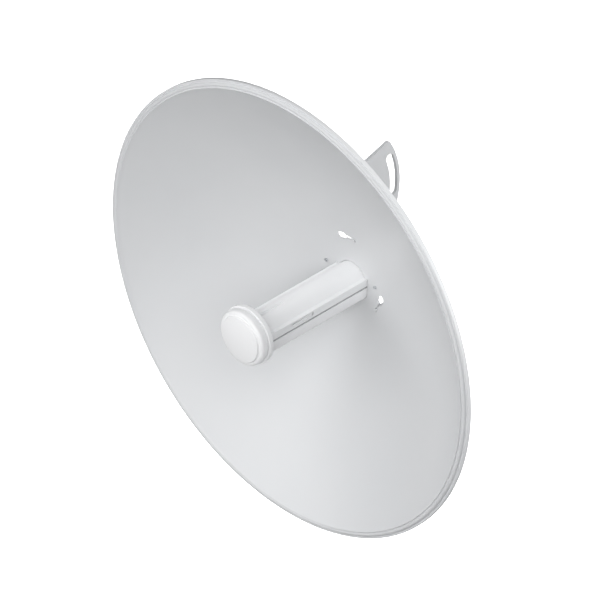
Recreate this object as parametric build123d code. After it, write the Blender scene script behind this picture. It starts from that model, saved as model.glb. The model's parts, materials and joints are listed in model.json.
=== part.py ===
from build123d import *
import math
import os

# Outdoor dish-type wireless bridge on a tilting pole mount. Millimetres, +Z up.
# The parts are drawn about the dish: its axis is Y, the dish opens to -Y, X is to the
# right as seen from the front, and y = 0 is the middle of the rim. export() then moves
# every part so that the origin is the centre of the pole clamp.

# ---- driving dimensions -------------------------------------------------------------
# Reflector
DISH_R = 210.0
DISH_EDGE_R = 202.6
DISH_VERTEX_Y = 73.5
PARABOLA_4F = 530.0
DISH_SHEET = 1.2
RIM_BEAD_Y = -3.9
RIM_BACK_Y = 1.9
SLOT_PCR = 37.0
SLOT_WIDE_ANGLE = 105.5
SLOT_SWEEP = 23.5
SLOT_WIDE = 6.0
SLOT_NARROW = 2.2
STUD_HEAD_R = 1.7
STUD_NECK_R = 0.9
STUD_BOSS_R = 2.8
LOCK_SCREW_X = 28.65
LOCK_SCREW_Z = 0.7

# Feed tube, section in the XZ plane
TUBE_R = 16.3
CROWN_Z = -5.0
CROWN_TOP_Z = CROWN_Z + TUBE_R
RAIL_X = 18.0
RAIL_TOP_Z = 3.0
JOINT_Z = -3.9
GROOVE_Z = -6.0
TUBE_BOTTOM_Z = -18.0
TUBE_CORNER_R = 5.0
TUBE_WALL = 2.0
TUBE_FRONT_Y = -46.8
TUBE_BACK_Y = 104.0
FIT_GAP = 0.3

# Snap windows in the rails
WINDOW_Y = -2.6
WINDOW_Z = -0.7
WINDOW_LENGTH = 25.5
WINDOW_HEIGHT = 3.8
WINDOW_CORNER_R = 0.9
TONGUE_FRONT_Y = -15.1
TONGUE_BACK_Y = 8.9
TONGUE_X = 17.4
TONGUE_FRONT_Z = -0.9
TONGUE_BACK_Z = 0.4

# Cap at the front of the feed
CAP_Z = -1.6
CAP_RING_R = 26.6
CAP_R = 25.2
CAP_RING_BACK_Y = -45.6
CAP_JOINT_Y = -49.8
CAP_FRONT_Y = -61.5
CAP_DISC_R = 20.8
CAP_DISC_RISE = 9.8
CAP_INNER_R = 23.6

# Electronics inside the feed
BOARD_X = 14.0
BOARD_FRONT_Y = -38.0
BOARD_BACK_Y = 99.0
BOARD_Z = -9.5
BOARD_THICK = 1.6
BOARD_TOP_Z = BOARD_Z + BOARD_THICK
JACK_X = 8.0
JACK_HEIGHT = 13.4
JACK_FRONT_Y = 86.0
JACK_BACK_Y = 102.6
PLUG_X = 5.9
PLUG_HEIGHT = 6.8
PLUG_DEPTH = 12.0
RESET_X = 12.0
RESET_Z = -4.0
RESET_R = 1.2
LIGHT_X = -12.0

# Rear housing behind the dish
HOUSING_R = 25.6
HOUSING_NOSE_R = 24.9
HOUSING_FRONT_Y = 74.5
HOUSING_BACK_Y = 127.5
COMPARTMENT_R = 23.0
EAR_ANGLES = (47.0, 167.0, 287.0)
EAR_PCR = 32.0
EAR_R = 4.6
EAR_THICK = 4.0

# Release lever in the top of the housing
LEVER_X = 4.5
LEVER_Z = 20.2
LEVER_THICK = 3.2
LEVER_FRONT_Y = 93.9
LEVER_BACK_Y = 120.0
LEVER_PIVOT_Y = 103.0
LEVER_PIVOT_Z = 21.8
LEVER_PIN_R = 1.2
HOOK_LENGTH = 3.2
LEVER_GAP = 0.4
LEVER_FLOOR_Z = 17.2

# Port door on the back of the housing
DOOR_FRONT_Y = 127.9
DOOR_THICK = 2.2
DOOR_HINGE_Y = 130.2
DOOR_HINGE_Z = 26.6
DOOR_PIN_R = 1.0
KNUCKLE_R = 2.2
KNUCKLE_X = 4.0
KNUCKLE_END_X = 8.5

# Sheet-metal tilt bracket behind the dish
SHEET = 3.0
HUB_PLATE_Y = 78.0
HUB_PLATE_R = 44.0
TILT_PLATE_X = -65.0
PIVOT_Y = 113.5
PIVOT_Z = 5.0
TILT_ARC_R = 82.5
OUTER_SLOT_R = 75.0
INNER_SLOT_R = 44.0
SLOT_MID_ANGLE = 6.5
SLOT_HALF_ANGLE = 16.5
OUTER_SLOT_MID_ANGLE = 6.8
OUTER_SLOT_HALF_ANGLE = 13.8
SLOT_HALF_WIDTH = 4.25

# Pole mount
BOLT_R = 4.0
BOLT_HEAD_AF = 13.0
BOLT_HEAD_H = 5.3
NUT_H = 6.5
WASHER_R = 8.0
WASHER_T = 1.6
RUNNING_GAP = 0.05
PLATE_GAP = 0.5
POLE_R = 25.0
POLE_X = -127.0
POLE_Y = 136.0
BRACKET_FLANGE_Y = 101.0
BRACKET_TOP_Z = 30.0
BRACKET_BOTTOM_Z = -20.0
CLAMP_BOLT_X = 34.0
CLAMP_BOLT_END_Y = 178.0
SADDLE_X = 24.0
SADDLE_REACH = 14.0
SADDLE_HALF_Z = 20.0
JAW_EAR_FRONT_Y = 155.0
JAW_EAR_BACK_Y = 161.0

ORIGIN = Vector(POLE_X, POLE_Y, PIVOT_Z)


# ---- helpers ------------------------------------------------------------------------
def box(x0, x1, y0, y1, z0, z1):
    """A box between two corners."""
    centre = ((x0 + x1) / 2, (y0 + y1) / 2, (z0 + z1) / 2)
    return Pos(*centre) * Box(x1 - x0, y1 - y0, z1 - z0)


def rod_x(radius, x0, x1, y, z):
    return Pos((x0 + x1) / 2, y, z) * Rot(0, 90, 0) * Cylinder(radius, x1 - x0)


def rod_y(radius, y0, y1, x=0.0, z=0.0):
    return Pos(x, (y0 + y1) / 2, z) * Rot(90, 0, 0) * Cylinder(radius, y1 - y0)


def rod_z(radius, z0, z1, x, y):
    return Pos(x, y, (z0 + z1) / 2) * Cylinder(radius, z1 - z0)


def hex_y(across_flats, y0, y1, x, z):
    """A hexagonal prism along Y."""
    section = RegularPolygon(across_flats / 2, 6, major_radius=False)
    plane = Plane(origin=(x, y0, z), x_dir=(1, 0, 0), z_dir=(0, 1, 0))
    return extrude(plane * section, y1 - y0)


def hex_x(across_flats, x0, x1, y, z):
    """A hexagonal prism along X."""
    section = RegularPolygon(across_flats / 2, 6, major_radius=False)
    plane = Plane(origin=(x0, y, z), x_dir=(0, 1, 0), z_dir=(1, 0, 0))
    return extrude(plane * section, x1 - x0)


def prism_y(section, y0, y1):
    """Extrude a section drawn in (x, z) along Y."""
    plane = Plane(origin=(0, y0, 0), x_dir=(1, 0, 0), z_dir=(0, -1, 0))
    return extrude(plane * section, -(y1 - y0))


def prism_x(section, x0, x1):
    """Extrude a section drawn in (y, z) along X."""
    plane = Plane(origin=(x0, 0, 0), x_dir=(0, 1, 0), z_dir=(1, 0, 0))
    return extrude(plane * section, x1 - x0)


def polar(radius, angle):
    """A point (x, z) about the dish axis, the angle counted from +X towards +Z."""
    turn = math.radians(angle)
    return radius * math.cos(turn), radius * math.sin(turn)


def lathe(*edges):
    """Turn a closed outline of edges in (radius, y) about the dish axis."""
    return revolve(make_face(Wire(edges)), Axis.Y)


def turned(points):
    """Turn a straight-sided outline in (radius, y) about the dish axis."""
    return revolve(make_face(Polyline(*points, close=True)), Axis.Y)


def arc_slot(centre, radius, middle, half_angle, half_width):
    """A round-ended slot along an arc, as a flat section about centre."""
    start = middle - half_angle
    path = CenterArc(centre, radius, start, 2 * half_angle)
    band = make_face(
        Wire(
            [
                CenterArc(centre, radius - half_width, start, 2 * half_angle),
                Line(*(arc_point(centre, radius + k * half_width, start + 2 * half_angle) for k in (-1, 1))),
                CenterArc(centre, radius + half_width, start, 2 * half_angle),
                Line(*(arc_point(centre, radius + k * half_width, start) for k in (1, -1))),
            ]
        )
    )
    ends = [Pos(*(path @ t)) * Circle(half_width) for t in (0, 1)]
    return band + ends[0] + ends[1]


def arc_point(centre, radius, angle):
    turn = math.radians(angle)
    return centre[0] + radius * math.cos(turn), centre[1] + radius * math.sin(turn)


def washer_x(x0, x1, y, z, bore):
    return rod_x(WASHER_R, x0, x1, y, z) - rod_x(bore, x0 - 1, x1 + 1, y, z)


# ---- feed tube sections -------------------------------------------------------------
def tube_outline(grow=0.0):
    """The whole tube's outer section: round above, with rails and flat sides below."""
    radius = TUBE_R + grow
    side = RAIL_X + grow
    ledge = RAIL_TOP_Z + grow
    bottom = TUBE_BOTTOM_Z - grow
    body = Pos(0, (ledge + bottom) / 2) * Rectangle(2 * side, ledge - bottom)
    body = fillet(body.vertices().group_by(Axis.Y)[0], TUBE_CORNER_R + grow)
    return body + (Pos(0, CROWN_Z) * Circle(radius) & half_plane(JOINT_Z, 40))


def half_plane(z0, z1):
    """A wide band of the section between two heights."""
    return Pos(0, (z0 + z1) / 2) * Rectangle(100, z1 - z0)


# ---- reflector ----------------------------------------------------------------------
def parabola(r0, r1, lift):
    """The reflector's curve between two radii, an exact parabola."""
    def height(r):
        return DISH_VERTEX_Y + lift - r * r / PARABOLA_4F
    middle = DISH_VERTEX_Y + lift - r0 * r1 / PARABOLA_4F
    return Bezier((r0, height(r0)), ((r0 + r1) / 2, middle), (r1, height(r1)))


def dish_reflector():
    front = parabola(0, DISH_EDGE_R, 0)
    back = parabola(0, DISH_EDGE_R, DISH_SHEET)
    edge = front @ 1
    ridge_out = (203.3, -3.7)
    groove_in = (203.5, -3.1)
    bead_in = (204.0, -3.0)
    bead_out = (207.3, -2.5)
    step_out = (207.7, -1.7)
    lip_in = (208.1, -1.6)
    lip_out = (DISH_R, -1.5)
    lip_inside_r = DISH_R - DISH_SHEET
    hollow_out = (207.3, -0.4)
    hollow_in = (204.1, -1.7)
    rim = [
        ThreePointArc(edge, (203.0, -4.15), ridge_out),
        Line(ridge_out, groove_in),
        Line(groove_in, bead_in),
        ThreePointArc(bead_in, (205.5, RIM_BEAD_Y), bead_out),
        Line(bead_out, step_out),
        Line(step_out, lip_in),
        ThreePointArc(lip_in, (209.2, -2.2), lip_out),
        Line(lip_out, (DISH_R, RIM_BACK_Y)),
        Line((DISH_R, RIM_BACK_Y), (lip_inside_r, RIM_BACK_Y)),
        Line((lip_inside_r, RIM_BACK_Y), (lip_inside_r, -0.3)),
        Line((lip_inside_r, -0.3), hollow_out),
        ThreePointArc(hollow_out, (205.6, -2.5), hollow_in),
        Line(hollow_in, back @ 1),
    ]
    dish = lathe(front, *rim, back, Line(back @ 0, front @ 0))
    dish -= prism_y(tube_outline(FIT_GAP), 60, 90)
    for turn in range(3):
        dish -= prism_y(keyhole(SLOT_WIDE_ANGLE - 120 * turn), 60, 90)
    for side in (-1, 1):
        dish -= rod_y(1.2, 60, 90, side * LOCK_SCREW_X, LOCK_SCREW_Z)
    return dish


def keyhole(wide_angle):
    """A bayonet slot: a wide entry that narrows to a tail."""
    entry = arc_slot((0, 0), SLOT_PCR, wide_angle, 3.0, SLOT_WIDE / 2)
    tail = arc_slot((0, 0), SLOT_PCR, wide_angle - SLOT_SWEEP / 2, SLOT_SWEEP / 2, SLOT_NARROW / 2)
    return entry + tail


def stud_angle(turn):
    """Where a stud rests, just short of the end of its slot's tail."""
    return SLOT_WIDE_ANGLE - SLOT_SWEEP + 1.5 - 120 * turn


def bayonet_studs():
    """Three headed studs riveted in the hub plate and hooked in the slots' tails."""
    studs = []
    for turn in range(3):
        x, z = polar(SLOT_PCR, stud_angle(turn))
        head_y = 70.6
        stud = rod_y(STUD_HEAD_R, head_y - 0.8, head_y, x, z)
        stud += rod_y(STUD_NECK_R, head_y, 82.2, x, z)
        stud += rod_y(2.0, 72.8, HUB_PLATE_Y, x, z)
        stud += rod_y(1.8, HUB_PLATE_Y + SHEET, 82.2, x, z)
        studs.append(stud)
    return Compound(studs)


def dish_lock_screws():
    """Two small screws that stop the dish from turning out of its studs."""
    screws = []
    for side in (-1, 1):
        x = side * LOCK_SCREW_X
        screw = rod_y(1.5, 70.7, 71.7, x, LOCK_SCREW_Z)
        screw += rod_y(1.0, 71.7, 83.0, x, LOCK_SCREW_Z)
        screw -= prism_y(Pos(x, LOCK_SCREW_Z) * RegularPolygon(0.75, 6), 70.6, 71.3)
        screws.append(screw)
    return Compound(screws)


# ---- feed ---------------------------------------------------------------------------
def feed_upper_shell():
    crown = Pos(0, CROWN_Z) * Circle(TUBE_R)
    inner = Pos(0, CROWN_Z) * Circle(TUBE_R - TUBE_WALL)
    inner_x = RAIL_X - TUBE_WALL
    inner += half_plane(JOINT_Z - 20, RAIL_TOP_Z - TUBE_WALL) & Rectangle(2 * inner_x, 80)
    section = (tube_outline() & half_plane(JOINT_Z, 40)) - inner
    shell = prism_y(section, TUBE_FRONT_Y, TUBE_BACK_Y)
    # A ramp that narrows to a point runs back from the cap along the crown.
    ramp_back = -8.5
    ramp_length = ramp_back - TUBE_FRONT_Y
    backing = prism_y(Pos(0, CROWN_TOP_Z - 3.2) * Rectangle(11, 5.0) & crown, TUBE_FRONT_Y, ramp_back - 4)
    ramp = Wedge(6.4, ramp_length, 12.0, 2.5, 3.0, 3.9, 12.0)
    ramp = Pos(0, TUBE_FRONT_Y + ramp_length / 2, CROWN_TOP_Z - 4.1 + 6.0) * ramp
    shell = shell + backing - ramp
    # Snap windows in the rails, and the notch that the release lever hooks into.
    for side in (-1, 1):
        window = RectangleRounded(WINDOW_LENGTH, WINDOW_HEIGHT, WINDOW_CORNER_R)
        place = Plane(origin=(side * RAIL_X, WINDOW_Y, WINDOW_Z), x_dir=(0, 1, 0), z_dir=(side, 0, 0))
        shell -= extrude(place * window, -TUBE_WALL - 0.2)
        shell -= snap_tongue(side, 0.15)
    notch_end = LEVER_FRONT_Y + HOOK_LENGTH + LEVER_GAP
    shell -= box(-5.2, 5.2, LEVER_FRONT_Y - 2.4, notch_end, CROWN_TOP_Z - 4.5, 20)
    return shell


def snap_tongue(side, grow):
    """The tongue of the lower shell that springs into a rail's window."""
    x = sorted((side * (RAIL_X - TUBE_WALL + 0.2 - grow), side * (TONGUE_X + grow)))
    front, back = TONGUE_FRONT_Y - grow, TONGUE_BACK_Y + grow
    foot = JOINT_Z - 0.5
    corners = ((front, foot), (back, foot), (back, TONGUE_BACK_Z + grow), (front, TONGUE_FRONT_Z + grow))
    return prism_x(make_face(Polyline(*corners, close=True)), *x)


def feed_lower_shell():
    hollow = Rectangle(2 * (RAIL_X - TUBE_WALL), 2 * (RAIL_X - TUBE_WALL))
    hollow = fillet(hollow.vertices(), TUBE_CORNER_R - TUBE_WALL)
    hollow += half_plane(-8, 10) & Rectangle(2 * (RAIL_X - TUBE_WALL), 80)
    section = (tube_outline() & half_plane(-40, GROOVE_Z)) - hollow
    lip = half_plane(GROOVE_Z, JOINT_Z) & Rectangle(2 * (RAIL_X - 1.0), 80)
    section += lip - hollow
    shell = prism_y(section, TUBE_FRONT_Y, TUBE_BACK_Y)
    for side in (-1, 1):
        shell += snap_tongue(side, 0)
    for x, y in board_screw_places():
        shell += rod_z(2.8, -16.5, BOARD_Z, x, y)
        shell -= rod_z(0.9, -14.5, BOARD_Z + 1, x, y)
    return shell


def shell_gaskets():
    """A soft bead in the groove along each side of the tube."""
    bead = []
    for side in (-1, 1):
        x = sorted((side * (RAIL_X - 1.0), side * (RAIL_X - 0.45)))
        strip = box(x[0], x[1], CAP_RING_BACK_Y, HOUSING_FRONT_Y, GROOVE_Z, JOINT_Z)
        bead.append(strip - snap_tongue(side, 0))
    return Compound(bead)


def tail_plate():
    """Closes the back of the feed, with openings for the jack, lights and button."""
    hollow = tube_outline(-TUBE_WALL - 0.1)
    plate = prism_y(hollow, JACK_BACK_Y - 0.6, TUBE_BACK_Y)
    plate -= box(-JACK_X - 0.1, JACK_X + 0.1, 100, 106, BOARD_TOP_Z - 0.1, BOARD_TOP_Z + JACK_HEIGHT + 0.1)
    plate -= rod_y(RESET_R + RUNNING_GAP, 100, 106, RESET_X, RESET_Z)
    for step in range(4):
        plate -= light_window(step, 0.05)
    return plate


def light_window(step, grow):
    z = BOARD_TOP_Z + 1.5 + 2.1 * step
    half = 1.4 + grow
    return box(LIGHT_X - half, LIGHT_X + half, 100.0, TUBE_BACK_Y + 0.2, z - 0.6 - grow, z + 0.6 + grow)


def light_pipe():
    """One clear moulding that carries four lights to the tail plate."""
    pipe = box(LIGHT_X - 1.4, LIGHT_X + 1.4, 98.4, 100.0, BOARD_TOP_Z + 0.9, BOARD_TOP_Z + 8.4)
    for step in range(4):
        pipe += light_window(step, 0)
    return pipe


def cap_ring():
    ring = turned(
        [
            (0, CAP_RING_BACK_Y),
            (CAP_RING_R - 0.8, CAP_RING_BACK_Y),
            (CAP_RING_R, CAP_RING_BACK_Y - 0.8),
            (CAP_RING_R, CAP_JOINT_Y),
            (CAP_INNER_R, CAP_JOINT_Y),
            (CAP_INNER_R, TUBE_FRONT_Y),
            (0, TUBE_FRONT_Y),
        ]
    )
    return Pos(0, 0, CAP_Z) * ring - prism_y(tube_outline(), -60, -40)


def dome_point(radius):
    """A point on the cap's front, a shallow dome centred on the axis."""
    rise = CAP_JOINT_Y - CAP_DISC_RISE - CAP_FRONT_Y
    dome_r = (CAP_DISC_R**2 + rise**2) / (2 * rise)
    return radius, CAP_FRONT_Y + dome_r - math.sqrt(dome_r**2 - radius**2)


def feed_cap():
    """The front cover: a stepped round cap with a slightly domed disc."""
    joint = CAP_JOINT_Y
    spigot_back = joint + 1.4
    outline = [
        Line((CAP_R - 1.0, joint), (CAP_R - 1.0, joint - 0.8)),
        Line((CAP_R - 1.0, joint - 0.8), (CAP_R, joint - 1.2)),
        Line((CAP_R, joint - 1.2), (CAP_R, joint - 5.4)),
        ThreePointArc((CAP_R, joint - 5.4), (24.45, joint - 7.2), (22.6, joint - 8.0)),
        Line((22.6, joint - 8.0), (21.4, joint - 8.1)),
        Line((21.4, joint - 8.1), (CAP_DISC_R, joint - CAP_DISC_RISE)),
        ThreePointArc((CAP_DISC_R, joint - CAP_DISC_RISE), dome_point(12.0), (0, CAP_FRONT_Y)),
        Line((0, CAP_FRONT_Y), (0, CAP_FRONT_Y + 2.0)),
        Line((0, CAP_FRONT_Y + 2.0), (19.0, joint - 8.2)),
        Line((19.0, joint - 8.2), (21.8, joint - 5.8)),
        Line((21.8, joint - 5.8), (21.8, spigot_back)),
        Line((21.8, spigot_back), (CAP_INNER_R - 0.1, spigot_back)),
        Line((CAP_INNER_R - 0.1, spigot_back), (CAP_INNER_R - 0.1, joint)),
        Line((CAP_INNER_R - 0.1, joint), (CAP_R - 1.0, joint)),
    ]
    return Pos(0, 0, CAP_Z) * lathe(*outline)


def cap_seal():
    """A square-section ring between the cap's spigot and the ring's floor."""
    front, back = CAP_JOINT_Y + 1.5, TUBE_FRONT_Y - 0.1
    outer = CAP_INNER_R - 0.1
    return Pos(0, 0, CAP_Z) * turned([(21.8, front), (outer, front), (outer, back), (21.8, back)])


def sub_reflector():
    """The small shaped metal disc that the radiator faces."""
    outline = [(0, -53.2), (4, -54.2), (18.5, -55.4), (18.5, -56.2), (4, -55.0), (0, -54.0)]
    return Pos(0, 0, CAP_Z) * turned(outline)


def radiator_board():
    """A round board that carries the crossed radiating strips."""
    board = rod_y(7.0, -41.6, -40.0)
    for turn in (0, 90):
        strip = Rot(0, turn, 0) * box(-6.3, 6.3, -42.0, -41.6, -1.2, 1.2)
        board += strip
    return Pos(0, 0, CAP_Z) * board


def radiator_post():
    """The plastic spacer that holds the small reflector off the radiator board."""
    return Pos(0, 0, CAP_Z) * turned([(2.4, -42.0), (4.2, -42.0), (3.0, -53.9), (2.4, -53.8)])


def board_screw_places():
    return [(x, y) for x in (-11.5, 11.5) for y in (-30.0, 82.0)]


def main_board():
    board = box(-BOARD_X, BOARD_X, BOARD_FRONT_Y, BOARD_BACK_Y, BOARD_Z, BOARD_TOP_Z)
    for x, y in board_screw_places():
        board -= rod_z(1.2, BOARD_Z - 1, BOARD_TOP_Z + 1, x, y)
    return board


def board_screws():
    screws = []
    for x, y in board_screw_places():
        screw = rod_z(2.0, BOARD_TOP_Z, BOARD_TOP_Z + 1.3, x, y)
        screw += rod_z(0.9, -14.0, BOARD_TOP_Z, x, y)
        screws.append(screw)
    return Compound(screws)


def board_edge_link():
    """A short coax link from the main board to the radiator board."""
    link = box(-1.5, 1.5, -40.0, -34.0, BOARD_TOP_Z, BOARD_TOP_Z + 1.4)
    return link


SHIELD_SPANS = ((-18.0, 14.0), (20.0, 58.0))
SHIELD_TOP_Z = BOARD_TOP_Z + 3.6


def rf_shields():
    """Two tin cans soldered over the radio and the processor."""
    cans = []
    for y0, y1 in SHIELD_SPANS:
        can = box(-10.5, 10.5, y0, y1, BOARD_TOP_Z, SHIELD_TOP_Z)
        can -= box(-10.2, 10.2, y0 + 0.3, y1 - 0.3, BOARD_TOP_Z - 1, SHIELD_TOP_Z - 0.3)
        cans.append(can)
    return Compound(cans)


def radio_chips():
    """The packages under the cans."""
    chips = []
    for y0, y1 in SHIELD_SPANS:
        middle = (y0 + y1) / 2
        chips.append(box(-6, 6, middle - 6, middle + 6, BOARD_TOP_Z, BOARD_TOP_Z + 1.2))
    return Compound(chips)


def thermal_pads():
    pads = []
    for y0, y1 in SHIELD_SPANS:
        pads.append(box(-9, 9, y0 + 2, y1 - 2, SHIELD_TOP_Z, SHIELD_TOP_Z + 1.0))
    return Compound(pads)


def heat_spreader():
    """A folded aluminium plate that rests on the pads and reaches up to the shell."""
    base_z = SHIELD_TOP_Z + 1.0
    flange_top = CROWN_TOP_Z - 8.8
    plate = box(-12.0, 12.0, -18, 58, base_z, base_z + 1.5)
    for side in (-1, 1):
        x = sorted((side * 10.5, side * 12.0))
        plate += box(x[0], x[1], -18, 58, base_z, flange_top)
    return plate


def line_transformer():
    return box(-7, 7, 66, 79, BOARD_TOP_Z, BOARD_TOP_Z + 6.0)


def rj45_jack():
    jack = box(-JACK_X, JACK_X, JACK_FRONT_Y, JACK_BACK_Y + 1.2, BOARD_TOP_Z, BOARD_TOP_Z + JACK_HEIGHT)
    floor = BOARD_TOP_Z + 3.4
    mouth = JACK_BACK_Y + 1.2
    jack -= box(-PLUG_X, PLUG_X, mouth - PLUG_DEPTH, mouth + 1, floor, floor + PLUG_HEIGHT)
    jack -= box(-3.1, 3.1, mouth - PLUG_DEPTH, mouth + 1, floor - 2.2, floor + 1)
    return jack


def jack_contacts():
    """Eight sprung wires that slope down into the jack from its roof."""
    roof = BOARD_TOP_Z + 3.4 + PLUG_HEIGHT
    wires = []
    for place in range(8):
        x = (place - 3.5) * 1.02
        wires.append(box(x - 0.18, x + 0.18, 93.0, 101.0, roof - 1.2, roof - 0.8))
    return Compound(wires)


def reset_button():
    """A small round plunger beside the jack, pressed with a pin."""
    return rod_y(RESET_R, 98.6, TUBE_BACK_Y - 0.6, RESET_X, RESET_Z)


def reset_switch():
    """The switch on the board behind the reset plunger."""
    return box(RESET_X - 1.9, RESET_X + 1.9, 93.0, 98.0, BOARD_TOP_Z, BOARD_TOP_Z + 5.5)


# ---- rear housing -------------------------------------------------------------------
def rear_housing():
    body = rod_y(HOUSING_NOSE_R, HOUSING_FRONT_Y, HUB_PLATE_Y + SHEET)
    barrel = rod_y(HOUSING_R, HUB_PLATE_Y + SHEET, HOUSING_BACK_Y)
    body += barrel
    for angle in EAR_ANGLES:
        x, z = polar(EAR_PCR, angle)
        ear = rod_y(EAR_R, HUB_PLATE_Y + SHEET, HUB_PLATE_Y + SHEET + EAR_THICK, x, z)
        web = Pos(0, HUB_PLATE_Y + SHEET + EAR_THICK / 2, 0) * Rot(0, -angle, 0)
        ear += web * Pos(EAR_PCR / 2 + 8, 0, 0) * Box(EAR_PCR - 16, EAR_THICK, 2 * EAR_R - 1)
        body += ear
    # Ribs stiffen the barrel along its flanks.
    for angle in (-60, -30, 0, 30, 150, 180, 210, 240):
        rib = Rot(0, -angle, 0) * box(HOUSING_R - 1, HOUSING_R + 0.9, 88, 126, -0.9, 0.9)
        body += rib
    # The hinge knuckles of the port door.
    for side in (-1, 1):
        ends = sorted((side * (KNUCKLE_X + 0.3), side * KNUCKLE_END_X))
        body += rod_x(KNUCKLE_R, ends[0], ends[1], DOOR_HINGE_Y, DOOR_HINGE_Z)
        body += box(ends[0], ends[1], 121.6, DOOR_HINGE_Y, DOOR_HINGE_Z - 2.6, DOOR_HINGE_Z)
    body -= prism_y(tube_outline(FIT_GAP), 70, TUBE_BACK_Y + 0.4)
    body -= rod_y(COMPARTMENT_R, TUBE_BACK_Y + 0.4, 140)
    body -= box(-KNUCKLE_END_X - 1, KNUCKLE_END_X + 1, HOUSING_BACK_Y, DOOR_HINGE_Y, 0, 24.0)
    # The shelf under the release lever, and the slot that the lever works in.
    body += box(-6, 6, TUBE_BACK_Y + 0.4, 112, LEVER_FLOOR_Z - 2, LEVER_FLOOR_Z)
    for side in (-1, 1):
        x = sorted((side * 5.0, side * 6.5))
        body += box(x[0], x[1], TUBE_BACK_Y + 0.4, 112, LEVER_FLOOR_Z - 2, 24)
    slot_x = LEVER_X + LEVER_GAP
    body -= box(-slot_x, slot_x, LEVER_FRONT_Y - 2.6, LEVER_BACK_Y + 1.0, LEVER_FLOOR_Z, 40)
    body -= box(-slot_x, slot_x, LEVER_FRONT_Y - 2.6, LEVER_FRONT_Y + HOOK_LENGTH + 1.0, CROWN_TOP_Z - 1, 40)
    body -= rod_x(LEVER_PIN_R, -9, 9, LEVER_PIVOT_Y, LEVER_PIVOT_Z)
    body -= rod_x(DOOR_PIN_R, -12, 12, DOOR_HINGE_Y, DOOR_HINGE_Z)
    # The notch for the cable grommet in the underside.
    body -= box(-5, 5, 114, 140, -40, -15)
    for angle in EAR_ANGLES:
        x, z = polar(EAR_PCR, angle)
        body -= rod_y(1.6, 70, 100, x, z)
    return body


def housing_screws():
    screws = []
    ear_back = HUB_PLATE_Y + SHEET + EAR_THICK
    for angle in EAR_ANGLES:
        x, z = polar(EAR_PCR, angle)
        screw = rod_y(3.0, ear_back, ear_back + 2.0, x, z)
        screw += rod_y(1.5, HUB_PLATE_Y - 1.5, ear_back, x, z)
        screw -= hex_y(2.5, ear_back + 0.8, ear_back + 3, x, z)
        screws.append(screw)
    return Compound(screws)


def release_lever():
    """A rocker: its nose hooks into the feed's notch, its pad is pressed to free it."""
    lever = box(-LEVER_X, LEVER_X, LEVER_FRONT_Y, LEVER_BACK_Y, LEVER_Z, LEVER_Z + LEVER_THICK)
    lever += box(-LEVER_X, LEVER_X, LEVER_FRONT_Y, LEVER_FRONT_Y + HOOK_LENGTH, CROWN_TOP_Z - 1.1, LEVER_Z)
    lever += box(-LEVER_X, LEVER_X, 112.0, LEVER_BACK_Y, LEVER_Z + LEVER_THICK, 26.6)
    for step in range(3):
        y = 113.8 + 2.2 * step
        lever += box(-LEVER_X + 0.6, LEVER_X - 0.6, y, y + 0.9, 26.6, 27.1)
    lever -= rod_x(LEVER_PIN_R + RUNNING_GAP, -9, 9, LEVER_PIVOT_Y, LEVER_PIVOT_Z)
    return lever


def lever_pin():
    return rod_x(LEVER_PIN_R, -8.5, 8.5, LEVER_PIVOT_Y, LEVER_PIVOT_Z)


def lever_spring():
    """A short coil that holds the lever's pad up."""
    coil = Helix(pitch=0.9, height=2.5, radius=1.6)
    wire = Plane(origin=coil @ 0, z_dir=coil % 0) * Circle(0.22)
    spring = sweep(wire, path=coil)
    return Pos(0, 108.6, LEVER_FLOOR_Z + 0.25) * spring


def port_door():
    door = turned(
        [
            (0, DOOR_FRONT_Y),
            (HOUSING_R, DOOR_FRONT_Y),
            (HOUSING_R, DOOR_FRONT_Y + 1.0),
            (HOUSING_R - 1.4, DOOR_FRONT_Y + DOOR_THICK),
            (0, DOOR_FRONT_Y + DOOR_THICK + 0.6),
        ]
    )
    for side in (-1, 1):
        x = sorted((side * KNUCKLE_X, side * (KNUCKLE_END_X + 0.6)))
        door -= box(x[0], x[1], 120, 140, 23.6, 40)
    door += rod_x(KNUCKLE_R, -KNUCKLE_X, KNUCKLE_X, DOOR_HINGE_Y, DOOR_HINGE_Z)
    door += box(-KNUCKLE_X, KNUCKLE_X, DOOR_FRONT_Y, DOOR_FRONT_Y + DOOR_THICK, 23, DOOR_HINGE_Z)
    door -= rod_x(DOOR_PIN_R + RUNNING_GAP, -9, 9, DOOR_HINGE_Y, DOOR_HINGE_Z)
    # A thumb lip at the foot of the door.
    door += box(-6, 6, DOOR_FRONT_Y, DOOR_FRONT_Y + 3.4, -26.6, -24.4)
    return door


def door_pin():
    return rod_x(DOOR_PIN_R, -KNUCKLE_END_X, KNUCKLE_END_X, DOOR_HINGE_Y, DOOR_HINGE_Z)


CABLE_R = 2.75
GROMMET_Y = 120.5


def cable_grommet():
    """A rubber block in the housing's notch, with a hole for the network cable."""
    grommet = box(-4.9, 4.9, 114.1, HOUSING_BACK_Y, -25.6, -21.0)
    grommet += box(-7.0, 7.0, 114.1, HOUSING_BACK_Y, -21.0, -18.6)
    grommet += box(-6.6, 6.6, 112.6, HOUSING_BACK_Y, -28.0, -26.4)
    grommet += box(-4.9, 4.9, 114.1, HOUSING_BACK_Y, -26.4, -25.6)
    return grommet - rod_z(CABLE_R, -40, 0, 0, GROMMET_Y)


# ---- tilt bracket -------------------------------------------------------------------
def pivot_point(radius, angle):
    """A point (y, z) about the elevation pivot, the angle counted from +Y towards +Z."""
    return arc_point((PIVOT_Y, PIVOT_Z), radius, angle)


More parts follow.
